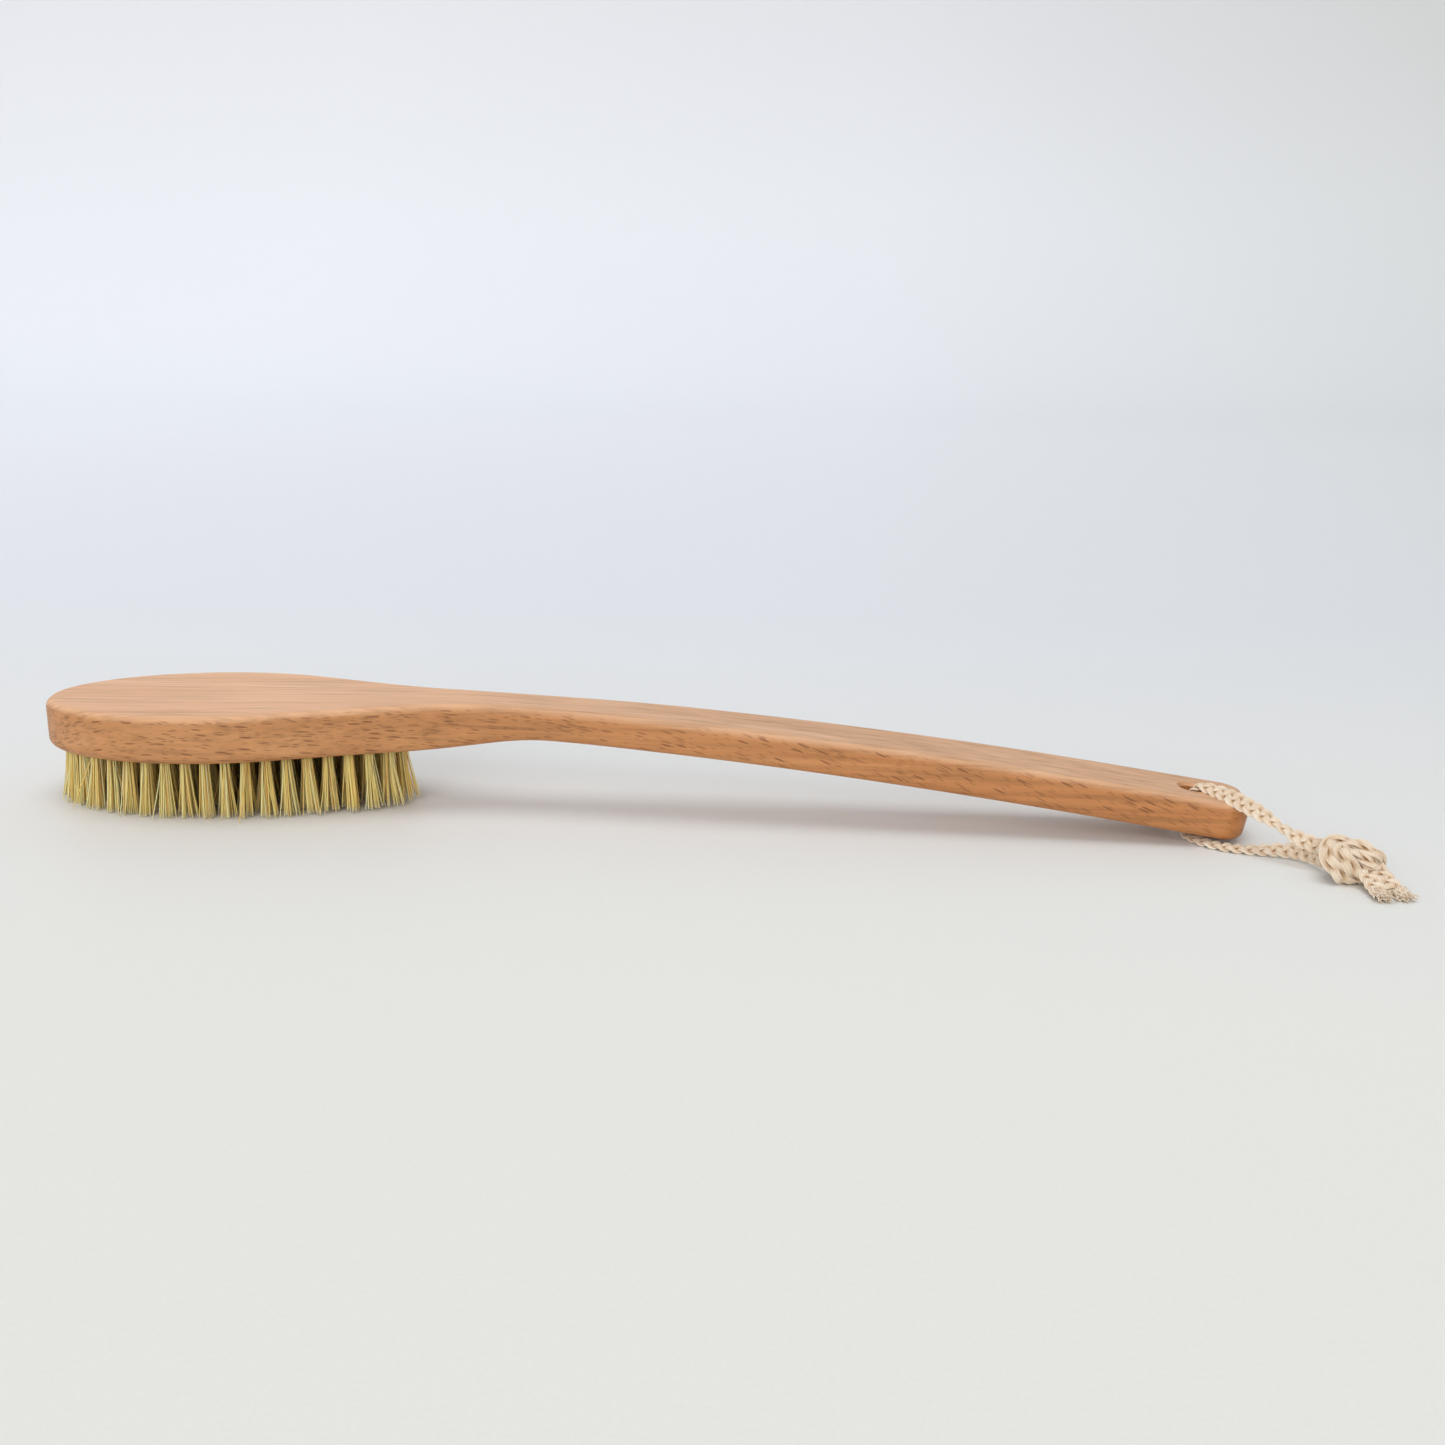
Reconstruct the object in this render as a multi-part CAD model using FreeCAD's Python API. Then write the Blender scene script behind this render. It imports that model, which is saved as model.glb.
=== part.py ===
import FreeCAD, Part
import math
import os

# Long-handled body brush: one piece of beech for head and handle, plant-fibre tufts set in
# blind holes by flat wire anchors, and a plaited cotton cord looped through the handle's end.
# Millimetres, +X from the nose of the head to the handle's end, +Z up.  The brush stands on
# its tuft tips, with the handle's end held just above the surface by the cord.

Vector = FreeCAD.Vector

# --- driving dimensions: wood ---
WOOD_LENGTH = 418.0
HEAD_WIDTH = 70.0
HEAD_LENGTH = 119.0         # full length of the oval that the head is part of
HEAD_THICKNESS = 16.6
HEAD_CLIMB = 1.2            # degrees that the head rises towards the neck
NECK_WIDTH = 21.6
NECK_THICKNESS = 11.4
HANDLE_START_WIDTH = 25.2
HANDLE_END_WIDTH = 28.4
HANDLE_THICKNESS = 12.6     # along the straight end of the handle
HANDLE_SLOPE = 8.0          # degrees that the handle's end falls
STRAIGHT_END = 45.0         # length of that straight end
END_CLEARANCE = 1.1         # underside of the end above the surface it stands on
END_CORNER_RADIUS = 8.0
END_RAKE = 12.0             # degrees that the end face leans back towards its foot
EDGE_ROUND = 3.0
FLAT_BEYOND_FIELD = 1.0     # flat underside past the field of tufts, towards the neck
FLAT_TO_TOP_TURN = 17.0     # these four run from the end of that flat along +X
FLAT_TO_CREST = 54.0
FLAT_TO_NECK = 41.0
FLAT_TO_HANDLE = 99.0
CREST_DROP = 1.0            # top over the neck's crest below the end of the head's flat top
CREST_FALL = 1.5            # degrees that the underside falls at the crest
OVAL_EXIT = 0.35            # sideways step per step along X where the oval gives way to the neck
NECK_BLEND = 20.0           # reach of the plan's curve on both sides of the neck's end

# --- how far each flowing curve keeps its first and last direction, as shares of its run ---
LOW_LEAVE, LOW_CREST = 0.49, 0.31
HANDLE_LEAVE, HANDLE_MEET = 0.13, 0.40
TOP_LEAVE, TOP_MEET = 0.44, 0.13
PLAN_LEAVE, PLAN_MEET = 0.45, 0.36

# --- driving dimensions: tufts ---
BRISTLE_LENGTH = 20.7       # how far a tuft stands out of the head
FIELD_LENGTH = 121.0        # the egg-shaped field of tufts, root to root
NOSE_MARGIN = 7.5           # from the nose to the first root
SIDE_MARGIN = 8.5           # from the head's widest edge to the outer roots
FIELD_TAPER = 0.25          # how much the egg narrows towards the neck
TUFT_PITCH = 6.9
TUFT_HOLE_DIAMETER = 3.2
TUFT_HOLE_DEPTH = 8.0
TUFT_FIT = 0.1              # tuft root smaller than its hole
TIP_GAP = 0.5               # between the splayed tips of the nearest two tufts
STRAIGHT_ROOT = 0.6         # of a tuft below the wood before it splays
CENTRE_TO_NOSE = 0.70       # ends of the middle row, as shares of the innermost ring's half length
CENTRE_TO_NECK = 0.42

# --- driving dimensions: anchors ---
ANCHOR_BITE_SHARE = 0.276   # of the wood between the nearest two holes, at each side of a hole
ANCHOR_THICKNESS = 0.4
ANCHOR_HEIGHT = 1.6
ANCHOR_INSET = 1.2          # from the top of the tuft's fold to the anchor

# --- driving dimensions: hanging cord ---
HANG_HOLE_DIAMETER = 8.0
HANG_HOLE_FROM_END = 20.2
HANG_HOLE_CHAMFER = 1.0
CORD_WIDTH = 5.6
CORD_THICKNESS = 2.0
KNOT_LENGTH = 22.0
KNOT_WIDTH = 15.5
KNOT_HEIGHT = 12.0
KNOT_FLAT = 0.6             # worn off the ellipsoid where the knot lies down

# Cord routes, millimetres: each leg starts half-way down the hang hole and ends in the knot.
UPPER_ROUTE = [
    (189.68, 0.0, 10.18),
    (190.8, 0.0, 17.95),
    (197.5, -5.6, 17.05),
    (203.3, -12.4, 16.3),
    (209.1, -19.0, 14.5),
    (215.9, -24.2, 11.2),
    (222.3, -28.8, 8.2),
    (228.3, -33.6, 6.8),
]
LOWER_ROUTE = [
    (189.68, 0.0, 10.18),
    (188.4, 0.0, 1.0),
    (191.8, -8.9, 1.0),
    (199.2, -15.2, 1.0),
    (208.6, -17.6, 1.2),
    (218.0, -19.4, 2.2),
    (225.2, -25.2, 3.0),
    (230.1, -31.5, 3.6),
]
KNOT_CENTRE = (235.0, -37.4)
KNOT_HEADING = -44.0        # degrees from +X, seen from above
LEFT_TAIL = [(239.6, -41.1, 4.6), (246.8, -54.8, 1.5)]
RIGHT_TAIL = [(235.0, -45.2, 4.2), (240.2, -59.6, 1.3)]

OVERCUT = 1.0               # of a cutting tool past the surface that it starts from
EGG_STEPS = 720             # short steps along a ring, in which its tufts are spaced
ARC_SHARE = 0.45            # of the shorter run beside a corner that its arc takes
CAP_NORMAL = 0.7            # a face whose normal is more upright than this is a cap, not a wall

# Rings of tufts from the outside in, with the number of nodes that each is kept in.
RINGS = [("outer", 6), ("second", 5), ("third", 4), ("fourth", 3)]
CENTRE_GROUPS = 2

# --- places that follow from the dimensions ---
NOSE_X = -WOOD_LENGTH / 2
END_X = WOOD_LENGTH / 2
OVAL_X = NOSE_X + HEAD_LENGTH / 2
FIELD_X = NOSE_X + NOSE_MARGIN + FIELD_LENGTH / 2
FIELD_HALF_WIDTH = HEAD_WIDTH / 2 - SIDE_MARGIN
RING_STEP = FIELD_HALF_WIDTH / len(RINGS)
FLAT_END_X = FIELD_X + FIELD_LENGTH / 2 + FLAT_BEYOND_FIELD
TOP_TURN_X = FLAT_END_X + FLAT_TO_TOP_TURN        # the head's flat top ends here
CREST_X = FLAT_END_X + FLAT_TO_CREST              # highest place under the neck
NECK_X = FLAT_END_X + FLAT_TO_NECK                # narrowest place of the neck
HANDLE_START_X = FLAT_END_X + FLAT_TO_HANDLE
STRAIGHT_X = END_X - STRAIGHT_END
BLANK_HEIGHT = 2 * (BRISTLE_LENGTH + HEAD_THICKNESS)


def tangent(degrees):
    return math.tan(math.radians(degrees))


def heading(degrees):
    return Vector(math.cos(math.radians(degrees)), math.sin(math.radians(degrees)), 0)


def underside(x):
    """Height of the flat underside of the head at x."""
    return BRISTLE_LENGTH + tangent(HEAD_CLIMB) * (x - FIELD_X)


def end_underside(x):
    """Height of the handle's straight, falling underside at x."""
    return END_CLEARANCE + tangent(HANDLE_SLOPE) * (END_X - x)


def smooth_curve(start, start_degrees, start_reach, end, end_degrees, end_reach):
    """A cubic in the XY plane that leaves start and meets end at the given headings."""
    poles = [start, start + heading(start_degrees) * start_reach,
             end - heading(end_degrees) * end_reach, end]
    curve = Part.BezierCurve()
    curve.setPoles(poles)
    return curve.toShape()


def side_profile():
    """The wood seen from the side, drawn with its height along Y."""
    end_rise = HANDLE_THICKNESS / math.cos(math.radians(HANDLE_SLOPE))
    top_turn = Vector(TOP_TURN_X, underside(TOP_TURN_X) + HEAD_THICKNESS, 0)
    top_straight = Vector(STRAIGHT_X, end_underside(STRAIGHT_X) + end_rise, 0)
    top_crest = top_turn.y - CREST_DROP
    flat_end = Vector(FLAT_END_X, underside(FLAT_END_X), 0)
    crest = Vector(CREST_X, top_crest - NECK_THICKNESS, 0)
    low_straight = Vector(STRAIGHT_X, end_underside(STRAIGHT_X), 0)
    nose_low = Vector(NOSE_X, underside(NOSE_X), 0)
    nose_top = nose_low + Vector(0, HEAD_THICKNESS, 0)
    end_top = Vector(END_X, END_CLEARANCE + end_rise, 0)
    foot_x = END_X - end_rise * tangent(END_RAKE)
    end_low = Vector(foot_x, end_underside(foot_x), 0)
    handle_run = STRAIGHT_X - TOP_TURN_X
    crest_run = CREST_X - FLAT_END_X
    return Part.Wire([
        Part.makeLine(nose_low, flat_end),
        smooth_curve(flat_end, HEAD_CLIMB, LOW_LEAVE * crest_run,
                     crest, -CREST_FALL, LOW_CREST * crest_run),
        smooth_curve(crest, -CREST_FALL, HANDLE_LEAVE * handle_run,
                     low_straight, -HANDLE_SLOPE, HANDLE_MEET * handle_run),
        Part.makeLine(low_straight, end_low),
        Part.makeLine(end_low, end_top),
        Part.makeLine(end_top, top_straight),
        smooth_curve(top_straight, 180 - HANDLE_SLOPE, TOP_LEAVE * handle_run,
                     top_turn, 180 + HEAD_CLIMB, TOP_MEET * handle_run),
        Part.makeLine(top_turn, nose_top),
        Part.makeLine(nose_top, nose_low),
    ])


def plan_side(mirror):
    """One long side of the wood from the oval to the end, seen from above."""
    half_length = HEAD_LENGTH / 2
    half_width = HEAD_WIDTH / 2
    slope = OVAL_EXIT * half_length / half_width
    along = slope / math.sqrt(1 + slope * slope)
    leave = Vector(OVAL_X + half_length * along, half_width * math.sqrt(1 - along * along), 0)
    neck = Vector(NECK_X, NECK_WIDTH / 2, 0)
    handle = Vector(HANDLE_START_X, HANDLE_START_WIDTH / 2, 0)
    end = Vector(END_X, HANDLE_END_WIDTH / 2, 0)
    leave_degrees = -math.degrees(math.atan(OVAL_EXIT))
    taper = math.degrees(math.atan2(end.y - handle.y, end.x - handle.x))
    neck_run = neck.x - leave.x
    edges = [
        smooth_curve(leave, leave_degrees, PLAN_LEAVE * neck_run, neck, 0, PLAN_MEET * neck_run),
        smooth_curve(neck, 0, NECK_BLEND, handle, taper, NECK_BLEND),
        Part.makeLine(handle, end),
    ]
    if mirror:
        edges = [edge.mirror(Vector(0, 0, 0), Vector(0, 1, 0)) for edge in edges]
        leave = Vector(leave.x, -leave.y, 0)
        end = Vector(end.x, -end.y, 0)
    return edges, leave, end


def plan_outline():
    """The wood seen from above: an oval head that narrows into neck and handle."""
    far_edges, far_leave, far_end = plan_side(False)
    near_edges, near_leave, near_end = plan_side(True)
    oval = Part.Ellipse(Vector(OVAL_X, 0, 0), HEAD_LENGTH / 2, HEAD_WIDTH / 2)
    first = oval.parameter(far_leave)
    nose_arc = Part.ArcOfEllipse(oval, first, 2 * math.pi - first).toShape()
    loose = [nose_arc, Part.makeLine(near_end, far_end)] + far_edges + near_edges
    return Part.Wire(Part.__sortEdges__(loose))


def is_cap(face):
    """True for the faces that look up or down, false for the walls."""
    low_u, high_u, low_v, high_v = face.ParameterRange
    return abs(face.normalAt((low_u + high_u) / 2, (low_v + high_v) / 2).z) > CAP_NORMAL


def rim_edges(shape):
    """Edges between the walls and the top or bottom."""
    rims = []
    for edge in shape.Edges:
        kinds = [is_cap(face) for face in shape.ancestorsOfType(edge, Part.Face)]
        if True in kinds and False in kinds:
            rims.append(edge)
    return rims


def hang_axis():
    """Middle of the hang hole and the unit vector along it, square to the handle's end."""
    lean = math.radians(HANDLE_SLOPE)
    axis = Vector(math.sin(lean), 0, math.cos(lean))
    x = END_X - HANG_HOLE_FROM_END
    low = Vector(x, 0, end_underside(x))
    return low + axis * (HANDLE_THICKNESS / 2), axis


def hang_hole():
    """Drill for the cord, with a small chamfer at both mouths."""
    middle, axis = hang_axis()
    radius = HANG_HOLE_DIAMETER / 2
    half = HANDLE_THICKNESS / 2
    drill = Part.makeCylinder(radius, 2 * (half + OVERCUT), middle - axis * (half + OVERCUT), axis)
    for way in (axis, axis * -1):
        start = middle + way * (half - HANG_HOLE_CHAMFER)
        reach = HANG_HOLE_CHAMFER + OVERCUT
        drill = drill.fuse(Part.makeCone(radius, radius + reach, reach, start, way))
    return drill


def ring_places(shrink):
    """Evenly spaced tuft centres round an egg that lies shrink inside the outer one."""
    half_length = FIELD_LENGTH / 2 - shrink
    half_width = FIELD_HALF_WIDTH - shrink
    outline = []
    for i in range(EGG_STEPS + 1):
        angle = 2 * math.pi * i / EGG_STEPS
        y = half_width * math.sin(angle) * (1 - FIELD_TAPER * math.cos(angle))
        outline.append(Vector(FIELD_X + half_length * math.cos(angle), y, 0))
    walked = [0.0]
    for before, after in zip(outline, outline[1:]):
        walked.append(walked[-1] + after.distanceToPoint(before))
    count = round(walked[-1] / TUFT_PITCH)
    places = []
    i = 0
    for n in range(count):
        target = walked[-1] * n / count
        while walked[i + 1] <= target:
            i += 1
        share = (target - walked[i]) / (walked[i + 1] - walked[i])
        places.append(outline[i] + (outline[i + 1] - outline[i]) * share)
    return places


def centre_places():
    """Tuft centres along the middle line, where the innermost ring is wide enough for them."""
    inner_half = FIELD_LENGTH / 2 - (len(RINGS) - 1) * RING_STEP
    first = FIELD_X - CENTRE_TO_NOSE * inner_half
    run = (CENTRE_TO_NOSE + CENTRE_TO_NECK) * inner_half
    gaps = int(run / TUFT_PITCH)
    return [Vector(first + n * run / gaps, 0, 0) for n in range(gaps + 1)]


def split_evenly(places, groups):
    """Consecutive runs of places, as equal as whole numbers allow."""
    bounds = [round(len(places) * n / groups) for n in range(groups + 1)]
    return [places[low:high] for low, high in zip(bounds, bounds[1:])]


def tuft_groups():
    """Name and centres of every group of tufts."""
    groups = []
    for number, (ring, parts) in enumerate(RINGS):
        for n, places in enumerate(split_evenly(ring_places(number * RING_STEP), parts), 1):
            groups.append((f"{ring}_{n}", places))
    for n, places in enumerate(split_evenly(centre_places(), CENTRE_GROUPS), 1):
        groups.append((f"centre_{n}", places))
    return groups


def nearest_tufts(groups):
    """Distance between the centres of the two tufts that are closest together."""
    places = [place for _, members in groups for place in members]
    return min(a.distanceToPoint(b) for n, a in enumerate(places) for b in places[:n])


def tuft_hole(place):
    """Blind hole that a tuft is set in."""
    mouth = Vector(place.x, place.y, underside(place.x) - OVERCUT)
    return Part.makeCylinder(TUFT_HOLE_DIAMETER / 2, TUFT_HOLE_DEPTH + OVERCUT, mouth)


def fold_top(place):
    """Height of the fold at the inner end of a tuft, just short of the hole's bottom."""
    return underside(place.x) + TUFT_HOLE_DEPTH - 2 * TUFT_FIT


def anchor(place, width):
    """Flat wire across the hole, which holds the folded tuft and bites into the wood."""
    corner = Vector(place.x - ANCHOR_THICKNESS / 2, place.y - width / 2,
                    fold_top(place) - ANCHOR_INSET - ANCHOR_HEIGHT)
    return Part.makeBox(ANCHOR_THICKNESS, width, ANCHOR_HEIGHT, corner)


def tuft(place, tip_width, wire):
    """Folded bundle of fibres: straight in its hole, round its wire, and splayed below it."""
    root_radius = (TUFT_HOLE_DIAMETER - TUFT_FIT) / 2
    splay_start = underside(place.x) - STRAIGHT_ROOT
    # Tufts under the low end of the head carry the weight, so their tips bend to the surface.
    tip = max(0.0, underside(place.x) - BRISTLE_LENGTH)
    section = [(0, tip), (tip_width / 2, tip), (root_radius, splay_start),
               (root_radius, fold_top(place)), (0, fold_top(place)), (0, tip)]
    face = Part.Face(Part.makePolygon([Vector(radius, 0, z) for radius, z in section]))
    solid = face.revolve(Vector(0, 0, 0), Vector(0, 0, 1), 360)
    solid.translate(Vector(place.x, place.y, 0))
    return solid.cut(wire)


def brush_body(groups):
    """Head, neck and handle in one piece of wood, rounded, bored and drilled."""
    plan = Part.Face(plan_outline()).extrude(Vector(0, 0, BLANK_HEIGHT))
    side = Part.Face(side_profile())
    side.rotate(Vector(0, 0, 0), Vector(1, 0, 0), 90)
    side.translate(Vector(0, HEAD_WIDTH, 0))
    wood = plan.common(side.extrude(Vector(0, -2 * HEAD_WIDTH, 0)))
    foot_x = END_X - 2 * HANDLE_THICKNESS * tangent(END_RAKE)
    corners = [edge for edge in wood.Edges
               if edge.BoundBox.XMin > foot_x and abs(edge.CenterOfMass.y) > HANDLE_END_WIDTH / 4
               and edge.BoundBox.ZLength > HANDLE_THICKNESS / 2]
    wood = wood.makeFillet(END_CORNER_RADIUS, corners)
    wood = wood.makeFillet(EDGE_ROUND, rim_edges(wood))
    wood = wood.cut(hang_hole())
    holes = [tuft_hole(place) for _, places in groups for place in places]
    return wood.cut(holes)


def cord_path(route, name):
    """Straight runs joined by tangent arcs, as one wire, and its length."""
    points = [Vector(*point) for point in route]
    edges = []
    radii = []
    start = points[0]
    for before, corner, after in zip(points, points[1:], points[2:]):
        back = (before - corner).normalize()
        onward = (after - corner).normalize()
        half_turn = (math.pi - back.getAngle(onward)) / 2
        shorter = min(corner.distanceToPoint(before), corner.distanceToPoint(after))
        inset = ARC_SHARE * shorter
        radius = inset / math.tan(half_turn)
        radii.append(round(radius, 1))
        arc_start = corner + back * inset
        arc_end = corner + onward * inset
        inward = (back + onward).normalize()
        middle = corner + inward * (radius / math.cos(half_turn) - radius)
        edges.append(Part.LineSegment(start, arc_start).toShape())
        edges.append(Part.Arc(arc_start, middle, arc_end).toShape())
        start = arc_end
    edges.append(Part.LineSegment(start, points[-1]).toShape())
    wire = Part.Wire(edges)
    print(name, "length", round(wire.Length, 1), "arc radii", radii)
    return wire


def flat_section(centre, along, across):
    """The flat cord's section: half-round edges, its width along across."""
    across = (across - along * across.dot(along)).normalize()
    up = along.cross(across).normalize()
    rise = up * (CORD_THICKNESS / 2)
    side = across * (CORD_WIDTH / 2 - CORD_THICKNESS / 2)
    tip = across * (CORD_WIDTH / 2)
    return Part.Wire([
        Part.makeLine(centre - side + rise, centre + side + rise),
        Part.Arc(centre + side + rise, centre + tip, centre + side - rise).toShape(),
        Part.makeLine(centre + side - rise, centre - side - rise),
        Part.Arc(centre - side - rise, centre - tip, centre - side + rise).toShape(),
    ])


def flat_cord(route, name, surface_up):
    """A flat plaited cord along its route, lying flat on a surface from its second run on."""
    path = cord_path(route, name)
    points = [Vector(*point) for point in route[:3]]
    along = (points[1] - points[0]).normalize()
    laid = (points[-1] - points[-2]).normalize()
    across = FreeCAD.Rotation(laid, along).multVec(laid.cross(surface_up))
    section = flat_section(points[0], along, across)
    solid = path.makePipeShell([section], True, False)
    expected = Part.Face(section).Area * path.Length
    print(name, "volume", round(solid.Volume, 1), "section x length", round(expected, 1))
    return solid


def cord_knot():
    """Outer shape of the overhand knot that closes the loop, flat where it lies down."""
    ball = Part.makeSphere(1.0)
    stretch = FreeCAD.Matrix()
    stretch.scale(KNOT_LENGTH / 2, KNOT_WIDTH / 2, KNOT_HEIGHT / 2)
    knot = ball.transformGeometry(stretch)
    knot.rotate(Vector(0, 0, 0), Vector(0, 0, 1), KNOT_HEADING)
    knot.translate(Vector(KNOT_CENTRE[0], KNOT_CENTRE[1], KNOT_HEIGHT / 2 - KNOT_FLAT))
    below = Part.makeBox(2 * KNOT_LENGTH, 2 * KNOT_LENGTH, KNOT_HEIGHT)
    below.translate(Vector(KNOT_CENTRE[0] - KNOT_LENGTH, KNOT_CENTRE[1] - KNOT_LENGTH, -KNOT_HEIGHT))
    return knot.cut(below)


def cord_nodes():
    """The hanging loop: two legs that meet inside the hole, the knot and two loose tails."""
    floor_up = Vector(0, 0, 1)
    handle_up = hang_axis()[1]
    return {
        "cord_upper_leg": flat_cord(UPPER_ROUTE, "cord_upper_leg", handle_up),
        "cord_lower_leg": flat_cord(LOWER_ROUTE, "cord_lower_leg", floor_up),
        "cord_knot": cord_knot(),
        "cord_left_tail": flat_cord(LEFT_TAIL, "cord_left_tail", floor_up),
        "cord_right_tail": flat_cord(RIGHT_TAIL, "cord_right_tail", floor_up),
    }


def main():
    os.makedirs("parts", exist_ok=True)
    groups = tuft_groups()
    nearest = nearest_tufts(groups)
    tip_width = nearest - TIP_GAP
    wire_width = TUFT_HOLE_DIAMETER + 2 * ANCHOR_BITE_SHARE * (nearest - TUFT_HOLE_DIAMETER)
    nodes = {"brush_body": brush_body(groups)}
    for name, places in groups:
        wires = [anchor(place, wire_width) for place in places]
        tufts = [tuft(place, tip_width, wire) for place, wire in zip(places, wires)]
        nodes["bristles_" + name] = Part.makeCompound(tufts)
        nodes["anchors_" + name] = Part.makeCompound(wires)
    nodes.update(cord_nodes())
    for name, shape in nodes.items():
        shape.exportStep("parts/" + name + ".step")
    middle, axis = hang_axis()
    print("tufts", sum(len(places) for _, places in groups), "nodes", len(nodes),
          "tip diameter", round(tip_width, 2), "wire width", round(wire_width, 3))
    print("hang hole middle", middle, "axis", axis)


main()
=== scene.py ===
import math

import bpy
import numpy as np
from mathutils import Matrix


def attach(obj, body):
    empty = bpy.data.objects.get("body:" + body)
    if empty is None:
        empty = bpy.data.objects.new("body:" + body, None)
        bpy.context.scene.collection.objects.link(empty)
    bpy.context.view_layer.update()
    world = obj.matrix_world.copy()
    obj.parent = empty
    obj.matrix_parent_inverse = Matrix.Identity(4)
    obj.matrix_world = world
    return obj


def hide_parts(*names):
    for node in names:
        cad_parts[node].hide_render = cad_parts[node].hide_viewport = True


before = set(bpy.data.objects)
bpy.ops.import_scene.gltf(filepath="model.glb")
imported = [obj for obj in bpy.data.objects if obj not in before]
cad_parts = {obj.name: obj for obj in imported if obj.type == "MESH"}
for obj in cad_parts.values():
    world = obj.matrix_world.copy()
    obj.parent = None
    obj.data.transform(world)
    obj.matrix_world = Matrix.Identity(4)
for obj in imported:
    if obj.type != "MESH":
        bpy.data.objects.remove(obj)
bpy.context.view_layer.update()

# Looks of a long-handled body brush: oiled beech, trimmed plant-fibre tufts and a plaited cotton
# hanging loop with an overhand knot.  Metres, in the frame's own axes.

MM = 0.001
rng = np.random.default_rng(47)

# --- tufts ---
FIBRES_PER_TUFT = 36
FIBRE_RADIUS = 0.23 * MM
FIBRE_STEPS = 7
FIBRE_SIDES = 4
ROOT_DEPTH = 1.6 * MM          # how far a fibre is followed up into its hole
STRAY_SHARE = 0.12             # of the fibres, that end away from their wisp
STRAY_SCATTER = 1.7 * MM
LEAN_SCATTER = 0.35 * MM       # of a whole tuft's tip, at random
WISP_SCATTER = 0.55            # of the wisps' places, as a share of the tip's radius
FIBRE_WANDER = 0.11 * MM
FIBRE_TAPER = 0.25             # of its radius, from root to tip
CLUMPS = 7                     # fibres of a tuft gather in this many wisps
FLOOR_GAP = 0.12 * MM
TIP_RADIUS = 3.6 * MM
GOLDEN_ANGLE = 2.39996         # radians between one fibre of a tuft and the next
ROOT_SHARE = 0.93              # of the CAD tuft's root radius that the fibres fill
TRIM = (-0.4, 0.7)             # millimetres that a fibre ends below or above the CAD tuft's tip
RIM_START = 0.72               # share of the tufts' half extent where they begin to lean out
RIM_BAND = 0.2                 # share over which the lean grows to its full amount
RIM_LEAN = (1.6, 0.5)          # millimetres at the tip, along and across the head

# --- cord ---
YARN_RADIUS = 0.34 * MM
YARN_SPACING = 0.58 * MM
YARNS_PER_STRAND = 5
STRANDS = 3
YARN_SIDES = 8
PLAIT_WAVE = 11.5 * MM         # length in which a strand crosses over and back
KNOT_WAVE = 24.0 * MM          # the same where the knot pulls the plait long
STRAND_SWING = 1.36 * MM       # of a strand to each side of the cord's middle
STRAND_LIFT = 0.5 * MM         # of a strand above and below its neighbours
STRAND_CROWN = 0.12 * MM       # of a strand's middle above its edges
PLY_DEPTH = 0.13               # groove between a yarn's two plies, as a share of its radius
PLY_PITCH = 2.4 * MM
SAMPLE = 0.3 * MM
ROUNDING = 1e-9                # slack when samples are picked by their length along the cord
CORD_WIDTH = 5.6 * MM
CORD_GAP = 0.02 * MM           # between the floor and a yarn that lies on it
LEG_END_SIZE = (0.9, 1.0)      # shares of width and thickness where a leg meets the knot

# The first seven control points of each leg in the CAD source, in millimetres; there the lower
# leg's last two are 2.2 and 3.0 high.  With each point come the direction that the flat cord's
# face looks in, and its width and thickness as shares of the full ones.
UPPER_LEG = [
    ((189.68, 0.0, 10.18), (-0.77, 0.64, 0.0), (0.55, 1.3)),
    ((190.8, 0.0, 17.95), (-0.4, 0.3, 0.85), (0.6, 1.3)),
    ((197.5, -5.6, 17.05), (-0.1, -0.5, 0.85), (1.0, 1.0)),
    ((203.3, -12.4, 16.3), (-0.15, -0.85, 0.55), (1.05, 1.0)),
    ((209.1, -19.0, 14.5), (-0.15, -0.8, 0.6), (1.0, 1.0)),
    ((215.9, -24.2, 11.2), (0.25, 0.1, 0.95), (0.85, 1.0)),
    ((222.3, -28.8, 8.2), (-0.4, -0.8, 0.4), (1.0, 1.0)),
]
LOWER_LEG = [
    ((189.68, 0.0, 10.18), (0.36, -0.93, 0.0), (0.55, 1.3)),
    ((188.4, 0.0, 1.0), (0.2, -0.5, 0.8), (0.8, 1.0)),
    ((191.8, -8.9, 1.0), (0.0, 0.0, 1.0), (1.0, 1.0)),
    ((199.2, -15.2, 1.0), (0.0, 0.0, 1.0), (1.0, 1.0)),
    ((208.6, -17.6, 1.2), (0.0, -0.2, 1.0), (1.0, 1.0)),
    ((218.0, -19.4, 2.5), (-0.1, -0.6, 0.8), (1.0, 1.0)),
    ((225.2, -25.2, 3.4), (-0.5, -0.8, 0.35), (1.0, 1.0)),
]

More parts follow.
